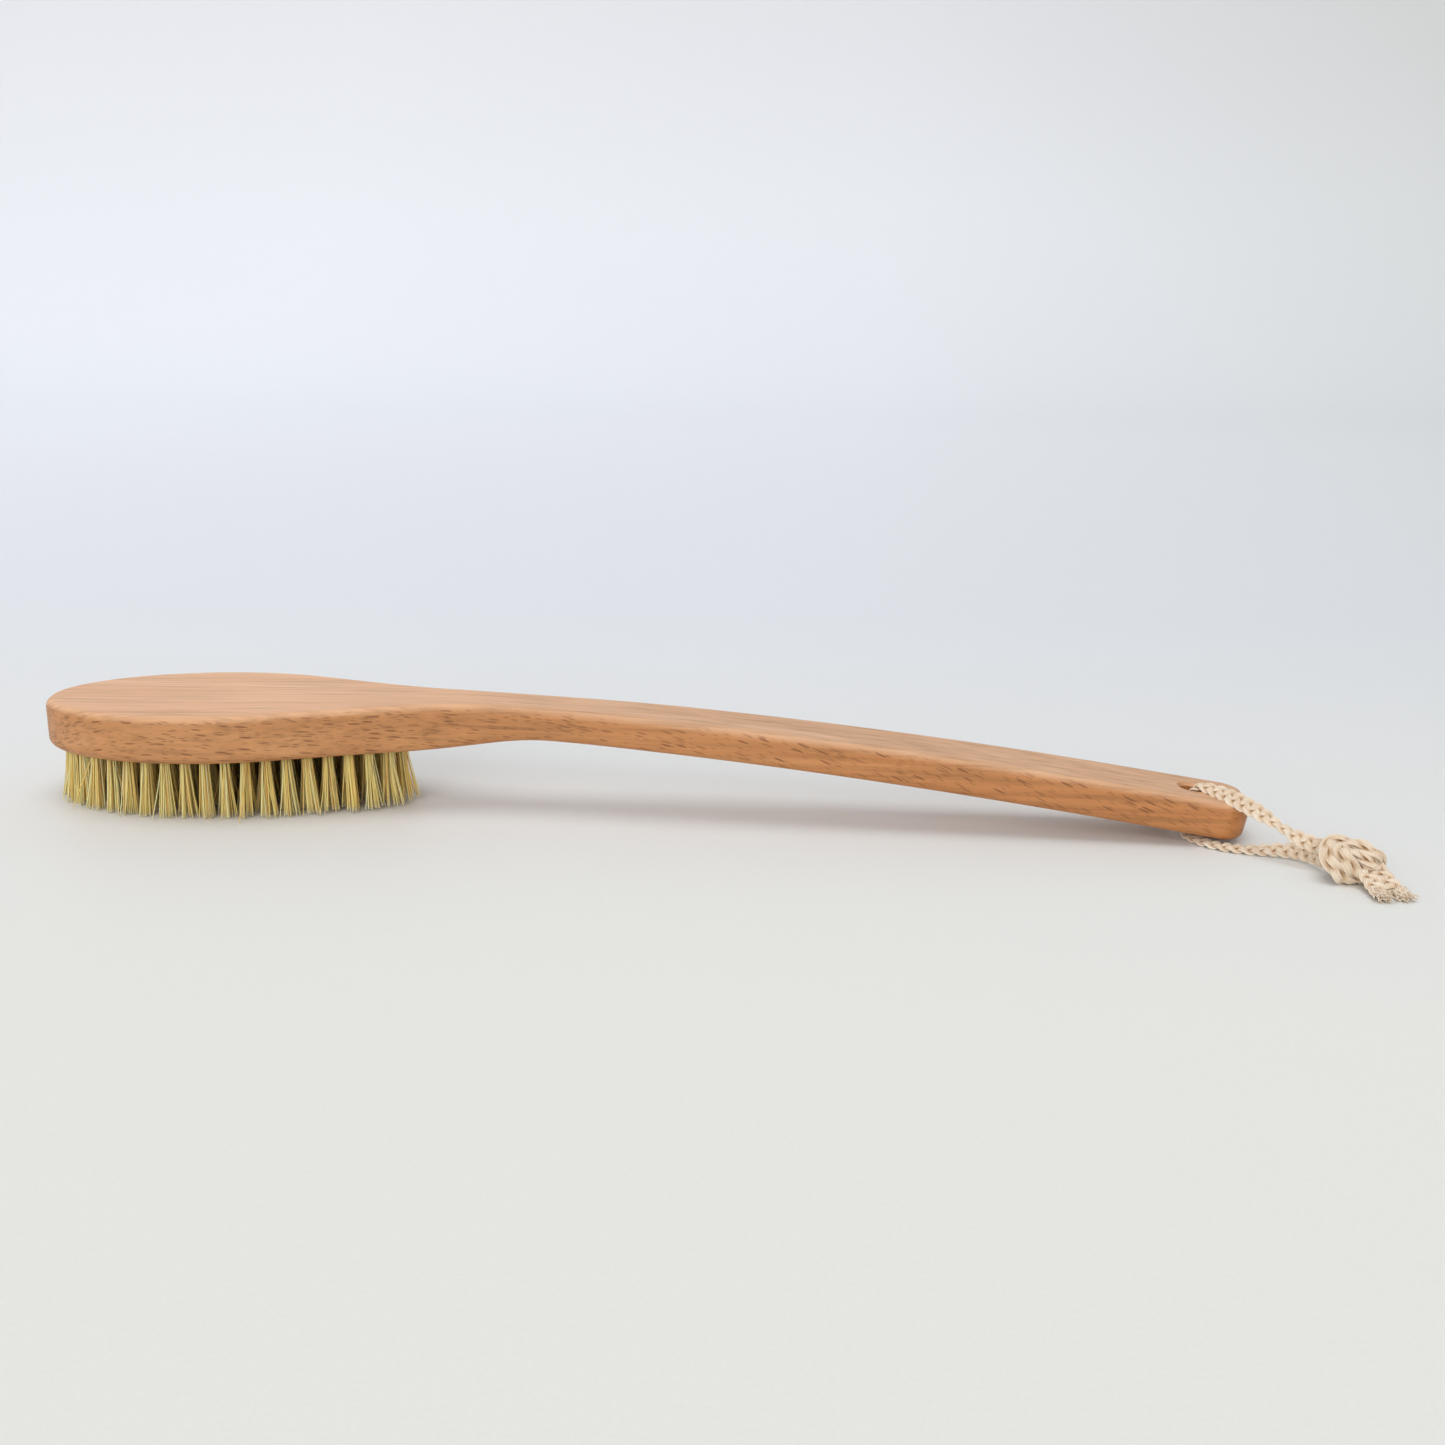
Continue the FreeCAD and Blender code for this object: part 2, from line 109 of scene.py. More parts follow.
# The two cords run side by side through the knot.  Each row is the pair's middle (right, front,
# up, in millimetres from the knot's centre), the way the pair's face looks, and how far each
# cord lies from the middle, sideways and along the face's direction.
KNOT_CENTRE = (233.6, -37.4, 5.7)
KNOT_TURN = 7.6                # degrees from the brush's axis to the knot's "right"
KNOT_PAIR = [
    ((-5.5, -5.3, 0.3), (-0.78, 0.62, 0.0), (2.1, 0.0)),
    ((-1.5, -2.0, 0.0), (-0.5, 0.35, -0.8), (2.0, 0.0)),
    ((3.0, -1.5, -0.8), (0.0, -0.35, -0.93), (1.9, 0.0)),
    ((7.5, -3.0, -2.4), (0.4, -0.5, -0.75), (1.9, 0.0)),
    ((10.2, -0.6, -3.2), (0.95, 0.1, -0.3), (1.8, 0.0)),
    ((9.8, 2.6, -1.6), (0.85, 0.5, 0.1), (1.7, 0.3)),
    ((7.4, 4.0, 1.8), (0.45, 0.6, 0.6), (1.6, 0.5)),
    ((3.0, 2.6, 4.4), (0.1, 0.45, 0.9), (1.6, 0.5)),
    ((-1.5, 0.0, 5.6), (-0.1, 0.2, 1.0), (1.9, 0.2)),
    ((-5.2, 0.2, 5.6), (-0.35, 0.3, 0.9), (2.2, 0.0)),
    ((-6.3, 4.6, 3.6), (-0.5, 0.75, 0.45), (2.2, 0.0)),
    ((-4.2, 7.0, 0.2), (-0.3, 0.95, 0.1), (2.1, 0.0)),
    ((-0.6, 6.8, -3.4), (0.0, 0.8, -0.5), (1.9, 0.0)),
    ((2.5, 5.5, -5.0), (0.2, 0.3, -0.95), (1.9, 0.0)),
    ((3.4, 1.0, -5.0), (0.0, 0.0, -1.0), (2.0, 0.0)),
    ((2.5, -4.0, -4.6), (0.0, -0.4, -0.9), (2.0, 0.0)),
    ((1.0, -7.0, -1.5), (0.0, -1.0, 0.0), (2.0, 0.0)),
    ((0.8, -6.0, 1.8), (0.0, -0.8, 0.6), (2.0, 0.0)),
    ((2.5, -2.0, 2.2), (0.0, -0.2, 1.0), (2.0, 0.0)),
    ((4.6, 2.0, 0.9), (0.1, 0.3, 0.95), (2.2, 0.0)),
    ((5.2, 6.0, -0.8), (0.1, 0.35, 0.95), (2.4, 0.0)),
    ((6.0, 11.0, -2.6), (0.05, 0.3, 0.95), (2.6, 0.0)),
    ((6.7, 16.0, -3.9), (0.0, 0.1, 1.0), (3.0, 0.0)),
    ((7.4, 22.0, -4.3), (0.0, 0.0, 1.0), (3.5, 0.0)),
]
TAIL_LENGTH = 16.0 * MM
FRAY_LENGTH = 7.0 * MM
FRAY_FIBRES = 6                # fine ends that each yarn opens into
FRAY_HALF_WIDTH = 3.1 * MM     # of the brush of ends that a tail opens into
FRAY_HALF_HEIGHT = 1.3 * MM
FRAY_RADIUS = 0.17 * MM
FRAY_SCATTER = 0.14            # millimetres between a frayed end's root and its yarn
FRAY_SWIRL = 0.55              # millimetres that an end wanders by at its tip
FRAY_SIDES = 5
FRAY_GAP = 0.14 * MM           # between the floor and a frayed end's middle
FUZZ_PER_MM = 2.8              # short loose hairs along a cord
FUZZ_RADIUS = 0.028 * MM
FUZZ_SIDES = 3
FUZZ_STEPS = 5
FUZZ_REACH = (0.5, 1.3)        # millimetres, shortest and longest
FUZZ_ROOT_SHARE = 0.42         # of the cord's width, from its middle out to a hair's root
FUZZ_ROOT_LIFT = 0.7 * MM      # the same through its thickness
FUZZ_GAP = 0.06 * MM           # between the floor and a hair's middle
FUZZ_START = 14 * MM           # along a leg, where it has left the hang hole

# --- stage ---
PAPER_HALF_WIDTH = 4.0
PAPER_FRONT = -3.0
PAPER_TOP = 4.0
SWEEP_START = 1.6              # behind the brush, where the paper begins to rise
SWEEP_RADIUS = 0.8
SWEEP_STEPS = 12

# Fitted to the photo's perspective.
FRAME_WIDTH = 36.0             # of the camera's sensor, in millimetres
FOCAL_SHARE = 20 / 17          # focal length as a share of that width
CAMERA_PLACE = (0.1075, -0.555, 0.184)
CAMERA_DOWN = 15.1             # degrees below level
CAMERA_TURN = 7.6              # degrees to the left of +Y


# ---------------------------------------------------------------- meshes

class Soup:
    """Vertices and faces of many small tubes, gathered before one mesh is made of them."""

    def __init__(self):
        self.points = []
        self.faces = []
        self.shade = []
        self.along = []
        self.count = 0

    def tube(self, line, radius, across, sides, shade, ridge=0.0, turn=None, outer=None):
        """A closed tube round line.  across is a direction, or one for each point.
        outer gives each surface point's second attribute; without it that is the share of
        the tube's length."""
        n = len(line)
        step = np.gradient(line, axis=0)
        step /= np.linalg.norm(step, axis=1, keepdims=True)
        first = across - step * np.sum(across * step, axis=1, keepdims=True)
        first /= np.linalg.norm(first, axis=1, keepdims=True)
        second = np.cross(step, first)
        angle = np.arange(sides) * 2 * math.pi / sides
        size = np.broadcast_to(radius, (n,))[:, None] * np.ones(sides)
        if ridge:
            size = size * (1 + ridge * np.cos(2 * (angle[None, :] - turn[:, None])))
        ring = (line[:, None, :] + first[:, None, :] * (size * np.cos(angle))[:, :, None]
                + second[:, None, :] * (size * np.sin(angle))[:, :, None])
        base = self.count
        self.points.append(ring.reshape(-1, 3))
        for i in range(n - 1):
            low = base + i * sides
            for j in range(sides):
                k = (j + 1) % sides
                self.faces.append((low + j, low + k, low + sides + k, low + sides + j))
        self.faces.append(tuple(base + j for j in reversed(range(sides))))
        self.faces.append(tuple(base + (n - 1) * sides + j for j in range(sides)))
        self.shade.append(np.full(n * sides, shade))
        if outer is None:
            self.along.append(np.repeat(np.linspace(0, 1, n), sides))
        else:
            self.along.append(outer(ring).reshape(-1))
        self.count += n * sides

    def piece(self, name, material, body, slot):
        mesh = bpy.data.meshes.new(name)
        points = np.concatenate(self.points)
        mesh.from_pydata(points.tolist(), [], self.faces)
        mesh.polygons.foreach_set("use_smooth", [True] * len(mesh.polygons))
        for key, values in (("shade", self.shade), ("along", self.along)):
            layer = mesh.attributes.new(key, "FLOAT", "POINT")
            layer.data.foreach_set("value", np.concatenate(values).astype(np.float32))
        mesh.materials.append(material)
        made = bpy.data.objects.new(name, mesh)
        bpy.context.scene.collection.objects.link(made)
        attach(made, body)
        return made


def islands(node):
    """Vertex clouds of the separate solids that a CAD node holds."""
    mesh = node.data
    points = np.zeros(len(mesh.vertices) * 3)
    mesh.vertices.foreach_get("co", points)
    points = points.reshape(-1, 3)
    _, same = np.unique(np.round(points, 6), axis=0, return_inverse=True)
    same = same.reshape(-1)
    owner = list(range(same.max() + 1))

    def root(i):
        while owner[i] != i:
            owner[i] = owner[owner[i]]
            i = owner[i]
        return i

    for polygon in mesh.polygons:
        ids = [root(same[v]) for v in polygon.vertices]
        for other in ids[1:]:
            owner[root(other)] = root(ids[0])
    groups = {}
    for i, point in enumerate(points):
        groups.setdefault(root(same[i]), []).append(point)
    return [np.array(group) for group in groups.values()]


# ---------------------------------------------------------------- materials

class Nodes:
    """Short way to build a material's node tree around its Principled shader."""

    def __init__(self, name, **sockets):
        self.material = bpy.data.materials.new(name)
        self.material.use_nodes = True
        self.tree = self.material.node_tree
        self.shader = self.tree.nodes["Principled BSDF"]
        for key, value in sockets.items():
            self.shader.inputs[key.replace("_", " ")].default_value = value

    def put(self, kind, settings=None, **inputs):
        """A new node; i0, i1 and so on are its inputs by number, other words by name."""
        node = self.tree.nodes.new("ShaderNode" + kind)
        for key, value in (settings or {}).items():
            setattr(node, key, value)
        for key, value in inputs.items():
            numbered = key[0] == "i" and key[1:].isdigit()
            socket = node.inputs[int(key[1:]) if numbered else key]
            if isinstance(value, bpy.types.NodeSocket):
                self.tree.links.new(value, socket)
            else:
                socket.default_value = value
        return node

    def math(self, operation, a, b=0.0, c=0.0, clamp=False):
        node = self.put("Math", {"operation": operation, "use_clamp": clamp}, i0=a, i1=b, i2=c)
        return node.outputs[0]

    def mix(self, share, a, b, blend="MIX"):
        node = self.put("Mix", {"data_type": "RGBA", "blend_type": blend}, i0=share, i6=a, i7=b)
        return node.outputs[2]

    def ramp(self, value, stops):
        node = self.put("ValToRGB", i0=value)
        ramp = node.color_ramp
        while len(ramp.elements) < len(stops):
            ramp.elements.new(0.5)
        for element, (place, colour) in zip(ramp.elements, stops):
            element.position = place
            element.color = (*colour, 1.0)
        return node.outputs[0]

    def link(self, output, socket):
        self.tree.links.new(output, self.shader.inputs[socket])

    def bump(self, height, strength, distance):
        node = self.put("Bump", Strength=strength, Distance=distance, Height=height)
        self.link(node.outputs[0], "Normal")


def grey(value):
    return (value, value, value)


def beech_material():
    """Oiled beech: fine straight grain on top, short dark ray flecks on the sides, which are more
    orange than the top and carry painted shade.
    """
    m = Nodes("beech", Specular_IOR_Level=0.32)
    coords = m.put("TexCoord")
    place = coords.outputs["Object"]
    normal = m.put("SeparateXYZ", i0=coords.outputs["Normal"]).outputs
    axes = m.put("SeparateXYZ", i0=place).outputs
    x, y, z = axes[0], axes[1], axes[2]

    # Height above a curve that rises at the nose, is nearly level along the head and falls
    # more and more steeply along the handle: the flecks follow that curve's direction.
    nose = m.math("MINIMUM", m.math("ADD", x, 0.155), 0.0)
    head = m.math("MAXIMUM", m.math("ADD", x, 0.155), 0.0)
    handle = m.math("MINIMUM", m.math("MAXIMUM", m.math("ADD", x, 0.04), 0.0), 0.13)
    beyond = m.math("MAXIMUM", m.math("SUBTRACT", x, 0.09), 0.0)
    curve = m.math("MULTIPLY", m.math("MULTIPLY", nose, nose), -4.5)
    curve = m.math("MULTIPLY_ADD", head, -0.09, curve)
    curve = m.math("MULTIPLY_ADD", m.math("MULTIPLY", handle, handle), -1.3, curve)
    curve = m.math("MULTIPLY_ADD", m.math("MULTIPLY", handle, beyond), -2.6, curve)
    level = m.math("SUBTRACT", z, curve)
    flow = m.put("CombineXYZ", i0=x, i1=y, i2=level).outputs[0]

    # Fine grain: streaks along the length.
    streaks = m.put("Mapping", i0=place, Scale=(22.0, 620.0, 620.0)).outputs[0]
    fine = m.put("TexNoise", Vector=streaks, Scale=1.0, Detail=5.0, Roughness=0.62).outputs[0]
    bands = m.put("Mapping", i0=place, Scale=(3.5, 95.0, 150.0)).outputs[0]
    broad = m.put("TexNoise", Vector=bands, Scale=1.0, Detail=3.0, Roughness=0.5,
                  Distortion=0.6).outputs[0]
    top_colour = m.ramp(broad, [(0.3, (0.71, 0.39, 0.205)), (0.55, (0.79, 0.45, 0.25)),
                                (0.75, (0.86, 0.53, 0.315))])
    # Painted shade: the top darkens from the head towards the handle, as the light falls off towards
    # the handle.
    painted_shade_to_handle = m.put("MapRange", i0=x, i1=-0.13, i2=0.06, i3=1.0, i4=0.86).outputs[0]
    top_colour = m.mix(1.0, top_colour, painted_shade_to_handle, "MULTIPLY")
    # Side colour: more orange than the top, as the wood is, and darker, which is painted shade of the
    # sides.
    side_tone_and_shade = m.ramp(broad, [(0.3, (0.53, 0.238, 0.090)), (0.55, (0.60, 0.284, 0.111)),
                                 (0.75, (0.66, 0.332, 0.142))])
    redder_handle = m.put("MapRange", i0=x, i1=-0.1, i2=0.1).outputs[0]
    redder_handle = m.ramp(redder_handle, [(0.0, (0.95, 0.94, 0.94)), (1.0, (0.90, 0.80, 0.70))])
    side_tone_and_shade = m.mix(1.0, side_tone_and_shade, redder_handle, "MULTIPLY")
    # Top colour where the surface looks up, the side colour with its painted shade elsewhere.
    up = m.put("MapRange", i0=normal[2], i1=0.25, i2=0.85).outputs[0]
    wood = m.mix(up, side_tone_and_shade, top_colour)
    dim = m.ramp(fine, [(0.3, grey(0.74)), (0.5, grey(0.98)), (0.7, grey(1.09))])
    wood = m.mix(1.0, wood, dim, "MULTIPLY")

    # Ray flecks: thin ellipsoids strewn along the flow, about half of the cells left empty.
    flecks = None
    for scale, share, offset in (((150.0, 70.0, 950.0), 0.55, 0.0),
                                 ((260.0, 110.0, 1600.0), 0.5, 3.7)):
        cells = m.put("Mapping", i0=flow, Location=(offset, offset, offset), Scale=scale).outputs[0]
        cell = m.put("TexVoronoi", Vector=cells, Scale=1.0)
        chance = m.put("SeparateColor", i0=cell.outputs["Color"]).outputs
        near = m.put("MapRange", i0=cell.outputs["Distance"], i1=0.36, i2=0.27).outputs[0]
        present = m.math("LESS_THAN", chance[0], share)
        strength = m.math("MULTIPLY", near, m.math("MULTIPLY_ADD", chance[1], 0.5, 0.5))
        dash = m.math("MULTIPLY", strength, present)
        flecks = dash if flecks is None else m.math("MAXIMUM", flecks, m.math("MULTIPLY", dash, 0.75))
    sides = m.put("MapRange", i0=normal[2], i1=0.75, i2=0.35).outputs[0]
    below = m.put("MapRange", i0=normal[2], i1=-0.9, i2=-0.5).outputs[0]
    flecks = m.math("MULTIPLY", m.math("MULTIPLY", flecks, sides), below)
    wood = m.mix(m.math("MULTIPLY", flecks, 0.8), wood, (0.20, 0.075, 0.028, 1.0))

    m.link(wood, "Base Color")
    rough = m.put("MapRange", i0=fine, i1=0.3, i2=0.7, i3=0.52, i4=0.40).outputs[0]
    m.link(rough, "Roughness")
    relief = m.math("SUBTRACT", m.math("MULTIPLY", fine, 0.5), flecks)
    m.bump(relief, 0.35, 0.00012)
    return m.material


def fibre_material():
    """Bleached plant fibre: each one its own straw colour, darker at the root, pale where cut."""
    m = Nodes("plant_fibre", Roughness=0.46, Specular_IOR_Level=0.45, Subsurface_Weight=0.5,
              Subsurface_Radius=(1.0, 0.8, 0.5), Subsurface_Scale=0.0006, Sheen_Weight=1.0,
              Sheen_Roughness=0.5, Sheen_Tint=(1.0, 0.84, 0.48, 1.0))
    shade = m.put("Attribute", {"attribute_name": "shade"}).outputs["Fac"]
    along = m.put("Attribute", {"attribute_name": "along"}).outputs["Fac"]
    colour = m.ramp(shade, [(0.0, (0.70, 0.36, 0.07)), (0.3, (0.98, 0.64, 0.17)),
                            (0.7, (1.0, 0.78, 0.26)), (1.0, (1.0, 0.92, 0.46))])
    root = m.ramp(along, [(0.0, grey(0.88)), (0.3, grey(0.98)), (0.8, grey(1.0))])
    colour = m.mix(1.0, colour, root, "MULTIPLY")
    cut = m.put("MapRange", i0=along, i1=0.93, i2=1.0).outputs[0]
    colour = m.mix(m.math("MULTIPLY", cut, 0.7), colour, (0.95, 0.89, 0.68, 1.0))
    place = m.put("TexCoord").outputs["Object"]
    stretched = m.put("Mapping", i0=place, Scale=(900.0, 900.0, 90.0)).outputs[0]
    grain = m.put("TexNoise", Vector=stretched, Scale=1.0, Detail=3.0).outputs[0]
    colour = m.mix(1.0, colour, m.ramp(grain, [(0.3, grey(0.85)), (0.7, grey(1.1))]), "MULTIPLY")
    m.link(colour, "Base Color")
    m.bump(grain, 0.3, 0.00005)
    return m.material


def cotton_material():
    """Unbleached cotton: cream, with tan painted shade in the hollows between its strands and a soft
    surface.
    """
    m = Nodes("cotton", Roughness=0.9, Specular_IOR_Level=0.2, Sheen_Weight=0.25)
    shade = m.put("Attribute", {"attribute_name": "shade"}).outputs["Fac"]
    place = m.put("TexCoord").outputs["Object"]
    fluff = m.put("TexNoise", Vector=place, Scale=2600.0, Detail=4.0, Roughness=0.7).outputs[0]
    patch = m.put("TexNoise", Vector=place, Scale=160.0, Detail=2.0).outputs[0]
    colour = m.ramp(shade, [(0.0, (0.74, 0.58, 0.42)), (0.5, (0.87, 0.73, 0.575)),
                            (1.0, (0.95, 0.85, 0.715))])
    colour = m.mix(1.0, colour, m.ramp(fluff, [(0.3, grey(0.86)), (0.7, grey(1.06))]), "MULTIPLY")
    colour = m.mix(1.0, colour, m.ramp(patch, [(0.3, (0.96, 0.92, 0.87)), (0.7, grey(1.03))]),
                   "MULTIPLY")
    # Painted shade: tan where the surface lies deep in the hollows between the strands.
    outer = m.put("Attribute", {"attribute_name": "along"}).outputs["Fac"]
    painted_hollow_shade = m.ramp(outer, [(0.3, (0.52, 0.37, 0.23)), (0.62, (0.88, 0.80, 0.70)), (0.85, grey(1.0))])
    colour = m.mix(1.0, colour, painted_hollow_shade, "MULTIPLY")
    m.link(colour, "Base Color")
    m.bump(fluff, 0.55, 0.00012)
    return m.material


def wire_material():
    """Dull galvanised wire of the tufts' anchors."""
    m = Nodes("anchor_wire", Metallic=1.0)
    place = m.put("TexCoord").outputs["Object"]
    drawn = m.put("Mapping", i0=place, Scale=(4000.0, 300.0, 4000.0)).outputs[0]
    lines = m.put("TexNoise", Vector=drawn, Scale=1.0, Detail=3.0).outputs[0]
    m.link(m.ramp(lines, [(0.3, grey(0.42)), (0.7, grey(0.6))]), "Base Color")
    m.link(m.put("MapRange", i0=lines, i3=0.35, i4=0.6).outputs[0], "Roughness")
    m.bump(lines, 0.2, 0.00003)
    return m.material


def paper_material():
    """Pale seamless paper, with painted light: bluer and darker towards the back, darker up the sweep,
    and at the back brighter on the left and darker on the right.
    """
    m = Nodes("paper", Roughness=0.5, Specular_IOR_Level=0.3)
    place = m.put("TexCoord").outputs["Object"]
    tooth = m.put("TexNoise", Vector=place, Scale=900.0, Detail=3.0).outputs[0]
    near = m.ramp(tooth, [(0.3, (0.82, 0.82, 0.78)), (0.7, (0.84, 0.84, 0.80))])
    axes = m.put("SeparateXYZ", i0=place).outputs
    # Painted light: a cooler, darker tint towards the back, and painted shade up the sweep.
    back = m.put("MapRange", i0=axes[1], i1=-0.15, i2=0.35).outputs[0]
    rise = m.put("MapRange", i0=axes[2], i1=0.0, i2=0.8).outputs[0]
    colour = m.mix(back, near, (0.765, 0.79, 0.835, 1.0))
    colour = m.mix(rise, colour, (0.74, 0.74, 0.755, 1.0))
    # Painted light across the back: brighter on the left, darker and warmer on the right.
    onward = m.ramp(m.put("MapRange", i0=axes[0], i1=-0.9, i2=0.9).outputs[0],
                    [(0.0, grey(1.06)), (0.5, grey(1.0)), (1.0, (0.86, 0.86, 0.82))])
    m.link(m.mix(back, colour, m.mix(1.0, colour, onward, "MULTIPLY")), "Base Color")
    return m.material


# ---------------------------------------------------------------- tufts

def tuft_shape(cloud):
    """Centre, tip height, height where the splay starts, and root radius of a CAD tuft."""
    centre = (cloud.min(0) + cloud.max(0)) / 2
    out = np.hypot(cloud[:, 0] - centre[0], cloud[:, 1] - centre[1])
    tip = cloud[:, 2].min()
    root_radius = out[cloud[:, 2] > cloud[:, 2].max() - 0.1 * MM].max()
    splay = cloud[out < root_radius + 0.02 * MM][:, 2]
    splay = splay[splay > tip + MM].min()
    return centre[:2], tip, splay, root_radius


def grow_tuft(soup, shape, outward):
    """Separate fibres from the hole to the trimmed tips."""
    centre, tip, splay, root_radius = shape
    lean = outward + rng.normal(0, LEAN_SCATTER, 2)
    turn = rng.uniform(0, math.pi)
    squash = rng.uniform(0.8, 1.15)
    spread = TIP_RADIUS * rng.uniform(0.9, 1.25) / root_radius
    axis = np.array([math.cos(turn), math.sin(turn)])
    wisps = rng.normal(0, TIP_RADIUS * WISP_SCATTER, (CLUMPS, 2)) + lean
    tone = rng.uniform(-0.12, 0.12)
    t = np.linspace(0, 1, FIBRE_STEPS)
    for n in range(FIBRES_PER_TUFT):
        reach = root_radius * ROOT_SHARE * math.sqrt((n + 0.5) / FIBRES_PER_TUFT)
        angle = n * GOLDEN_ANGLE + rng.normal(0, 0.15)
        root = reach * np.array([math.cos(angle), math.sin(angle)])
        end = root * spread * rng.uniform(0.8, 1.15)
        end = end + axis * (end @ axis) * (squash - 1) + lean
        wisp = wisps[np.argmin(np.linalg.norm(wisps - end, axis=1))]
        end = end + (wisp - end) * rng.uniform(0.2, 0.75)
        if rng.random() < STRAY_SHARE:
            end = end + rng.normal(0, STRAY_SCATTER, 2)
        low = max(tip + rng.uniform(*TRIM) * MM, FLOOR_GAP + FIBRE_RADIUS * 0.4)
        high = splay + ROOT_DEPTH
        bend = t ** rng.uniform(1.05, 1.6)
        wave = rng.normal(0, FIBRE_WANDER, 2)
        curl = np.sin(t * rng.uniform(2.5, 6.5) + rng.uniform(0, 6)) * t
        flat = root + np.outer(bend, end - root) + np.outer(curl, wave)
        line = np.column_stack([centre[0] + flat[:, 0], centre[1] + flat[:, 1],
                                high + (low - high) * t])
        radius = FIBRE_RADIUS * rng.uniform(0.75, 1.15) * (1 - FIBRE_TAPER * t)
        shade = min(max(rng.normal(0.6, 0.3) + tone, 0.0), 1.0)
        soup.tube(line, radius, np.array([[1.0, 0.3, 0.0]] * FIBRE_STEPS), FIBRE_SIDES, shade)


def grow_tufts(material):
    """Fibres for every CAD tuft, one piece for each CAD node; the tufts at the rim lean out."""
    names = sorted(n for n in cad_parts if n.startswith("bristles_"))
    clouds = {name: islands(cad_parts[name]) for name in names}
    every = np.concatenate([cloud for found in clouds.values() for cloud in found])
    middle = (every.min(0) + every.max(0))[:2] / 2
    half = (every.max(0) - every.min(0))[:2] / 2
    for name in names:
        soup = Soup()
        for cloud in clouds[name]:
            shape = tuft_shape(cloud)
            out = (shape[0] - middle) / half
            rim = max(0.0, np.linalg.norm(out) - RIM_START) / RIM_BAND
            push = out / max(np.linalg.norm(out), 1e-6) * min(rim, 1.0)
            grow_tuft(soup, shape, push * np.array(RIM_LEAN) * MM)
        piece = soup.piece(name.replace("bristles", "fibres"), material, "brush", "plant_fibre")
        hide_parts(name)


# ---------------------------------------------------------------- cord

def spline_points(points):
    """Points along the smooth NURBS line that has these control points."""
    curve = bpy.data.curves.new("line", "CURVE")
    curve.dimensions = "3D"
    curve.resolution_u = 24
    spline = curve.splines.new("NURBS")
    spline.points.add(len(points) - 1)
    for target, point in zip(spline.points, points):
        target.co = (*point, 1.0)
    spline.order_u = 3
    spline.use_endpoint_u = True
    holder = bpy.data.objects.new("line", curve)
    mesh = bpy.data.meshes.new_from_object(holder)
    found = np.array([v.co[:] for v in mesh.vertices])
    bpy.data.objects.remove(holder)
    bpy.data.curves.remove(curve)
    bpy.data.meshes.remove(mesh)
    return found


class Route:
    """A cord's centreline with the way its flat face looks and its size, evenly sampled.
    waves gives the plait's wave length at each place; without it that is PLAIT_WAVE."""

    def __init__(self, places, faces, sizes, waves=None):
        walked = np.concatenate([[0], np.cumsum(np.linalg.norm(np.diff(places, axis=0), axis=1))])
        self.length = walked[-1]
        self.at = np.linspace(0, self.length, int(self.length / SAMPLE) + 2)

        def even(values):
            return np.column_stack([np.interp(self.at, walked, column) for column in values.T])

        self.centre = even(places)
        self.size = even(sizes)
        step = np.gradient(self.centre, axis=0)
        self.onward = step / np.linalg.norm(step, axis=1, keepdims=True)
        face = even(faces)
        face = face - self.onward * np.sum(face * self.onward, axis=1, keepdims=True)
        self.face = face / np.linalg.norm(face, axis=1, keepdims=True)
        self.side = np.cross(self.onward, self.face)
        wave = np.full(len(self.at), PLAIT_WAVE) if waves is None else even(waves[:, None])[:, 0]
        self.turns = np.concatenate([[0], np.cumsum(np.diff(self.at) / wave[1:])])


def leg_route(stations, end, end_face):
    """A leg from the middle of the hang hole to where its cord enters the knot."""
    places = [[c * MM for c in place] for place, _, _ in stations] + [end]
    faces = [face for _, face, _ in stations] + [end_face]
    sizes = [size for _, _, size in stations] + [LEG_END_SIZE]
    return Route(spline_points(places), spline_points(faces),
                 spline_points([(a, b, 0.0) for a, b in sizes]))


def knot_axes():
    """The knot's right, front and up, as rows."""
    turn = math.radians(KNOT_TURN)
    right = np.array([math.cos(turn), math.sin(turn), 0.0])
    front = np.array([math.sin(turn), -math.cos(turn), 0.0])
    return np.array([right, front, [0.0, 0.0, 1.0]])


def pair_route(side):
    """One of the two cords through the knot and out into its tail; side is -1 or 1."""
    axes = knot_axes()
    centre = np.array(KNOT_CENTRE) * MM
    middle = spline_points([centre + (np.array(place) * MM) @ axes for place, _, _ in KNOT_PAIR])
    face = spline_points([np.array(look) @ axes for _, look, _ in KNOT_PAIR])
    apart = spline_points([(a * MM, b * MM, 0.0) for _, _, (a, b) in KNOT_PAIR])
    onward = np.gradient(middle, axis=0)
    onward /= np.linalg.norm(onward, axis=1, keepdims=True)
    face = face - onward * np.sum(face * onward, axis=1, keepdims=True)
    face /= np.linalg.norm(face, axis=1, keepdims=True)
    across = np.cross(onward, face)
    places = middle + side * (across * apart[:, :1] + face * apart[:, 1:2])
    share = np.linspace(0, 1, len(places))
    waves = np.interp(share, [0.0, 0.08, 0.82, 0.92], [PLAIT_WAVE, KNOT_WAVE, KNOT_WAVE, PLAIT_WAVE])
    thick = np.interp(share, [0.0, 0.1, 0.85, 0.95], [1.0, 1.35, 1.35, 1.0])
    broad = np.interp(share, [0.0, 0.82, 0.92], [0.9, 0.92, 1.1])
    sizes = np.column_stack([broad, thick, thick * 0])
    return Route(places, face, sizes, waves)


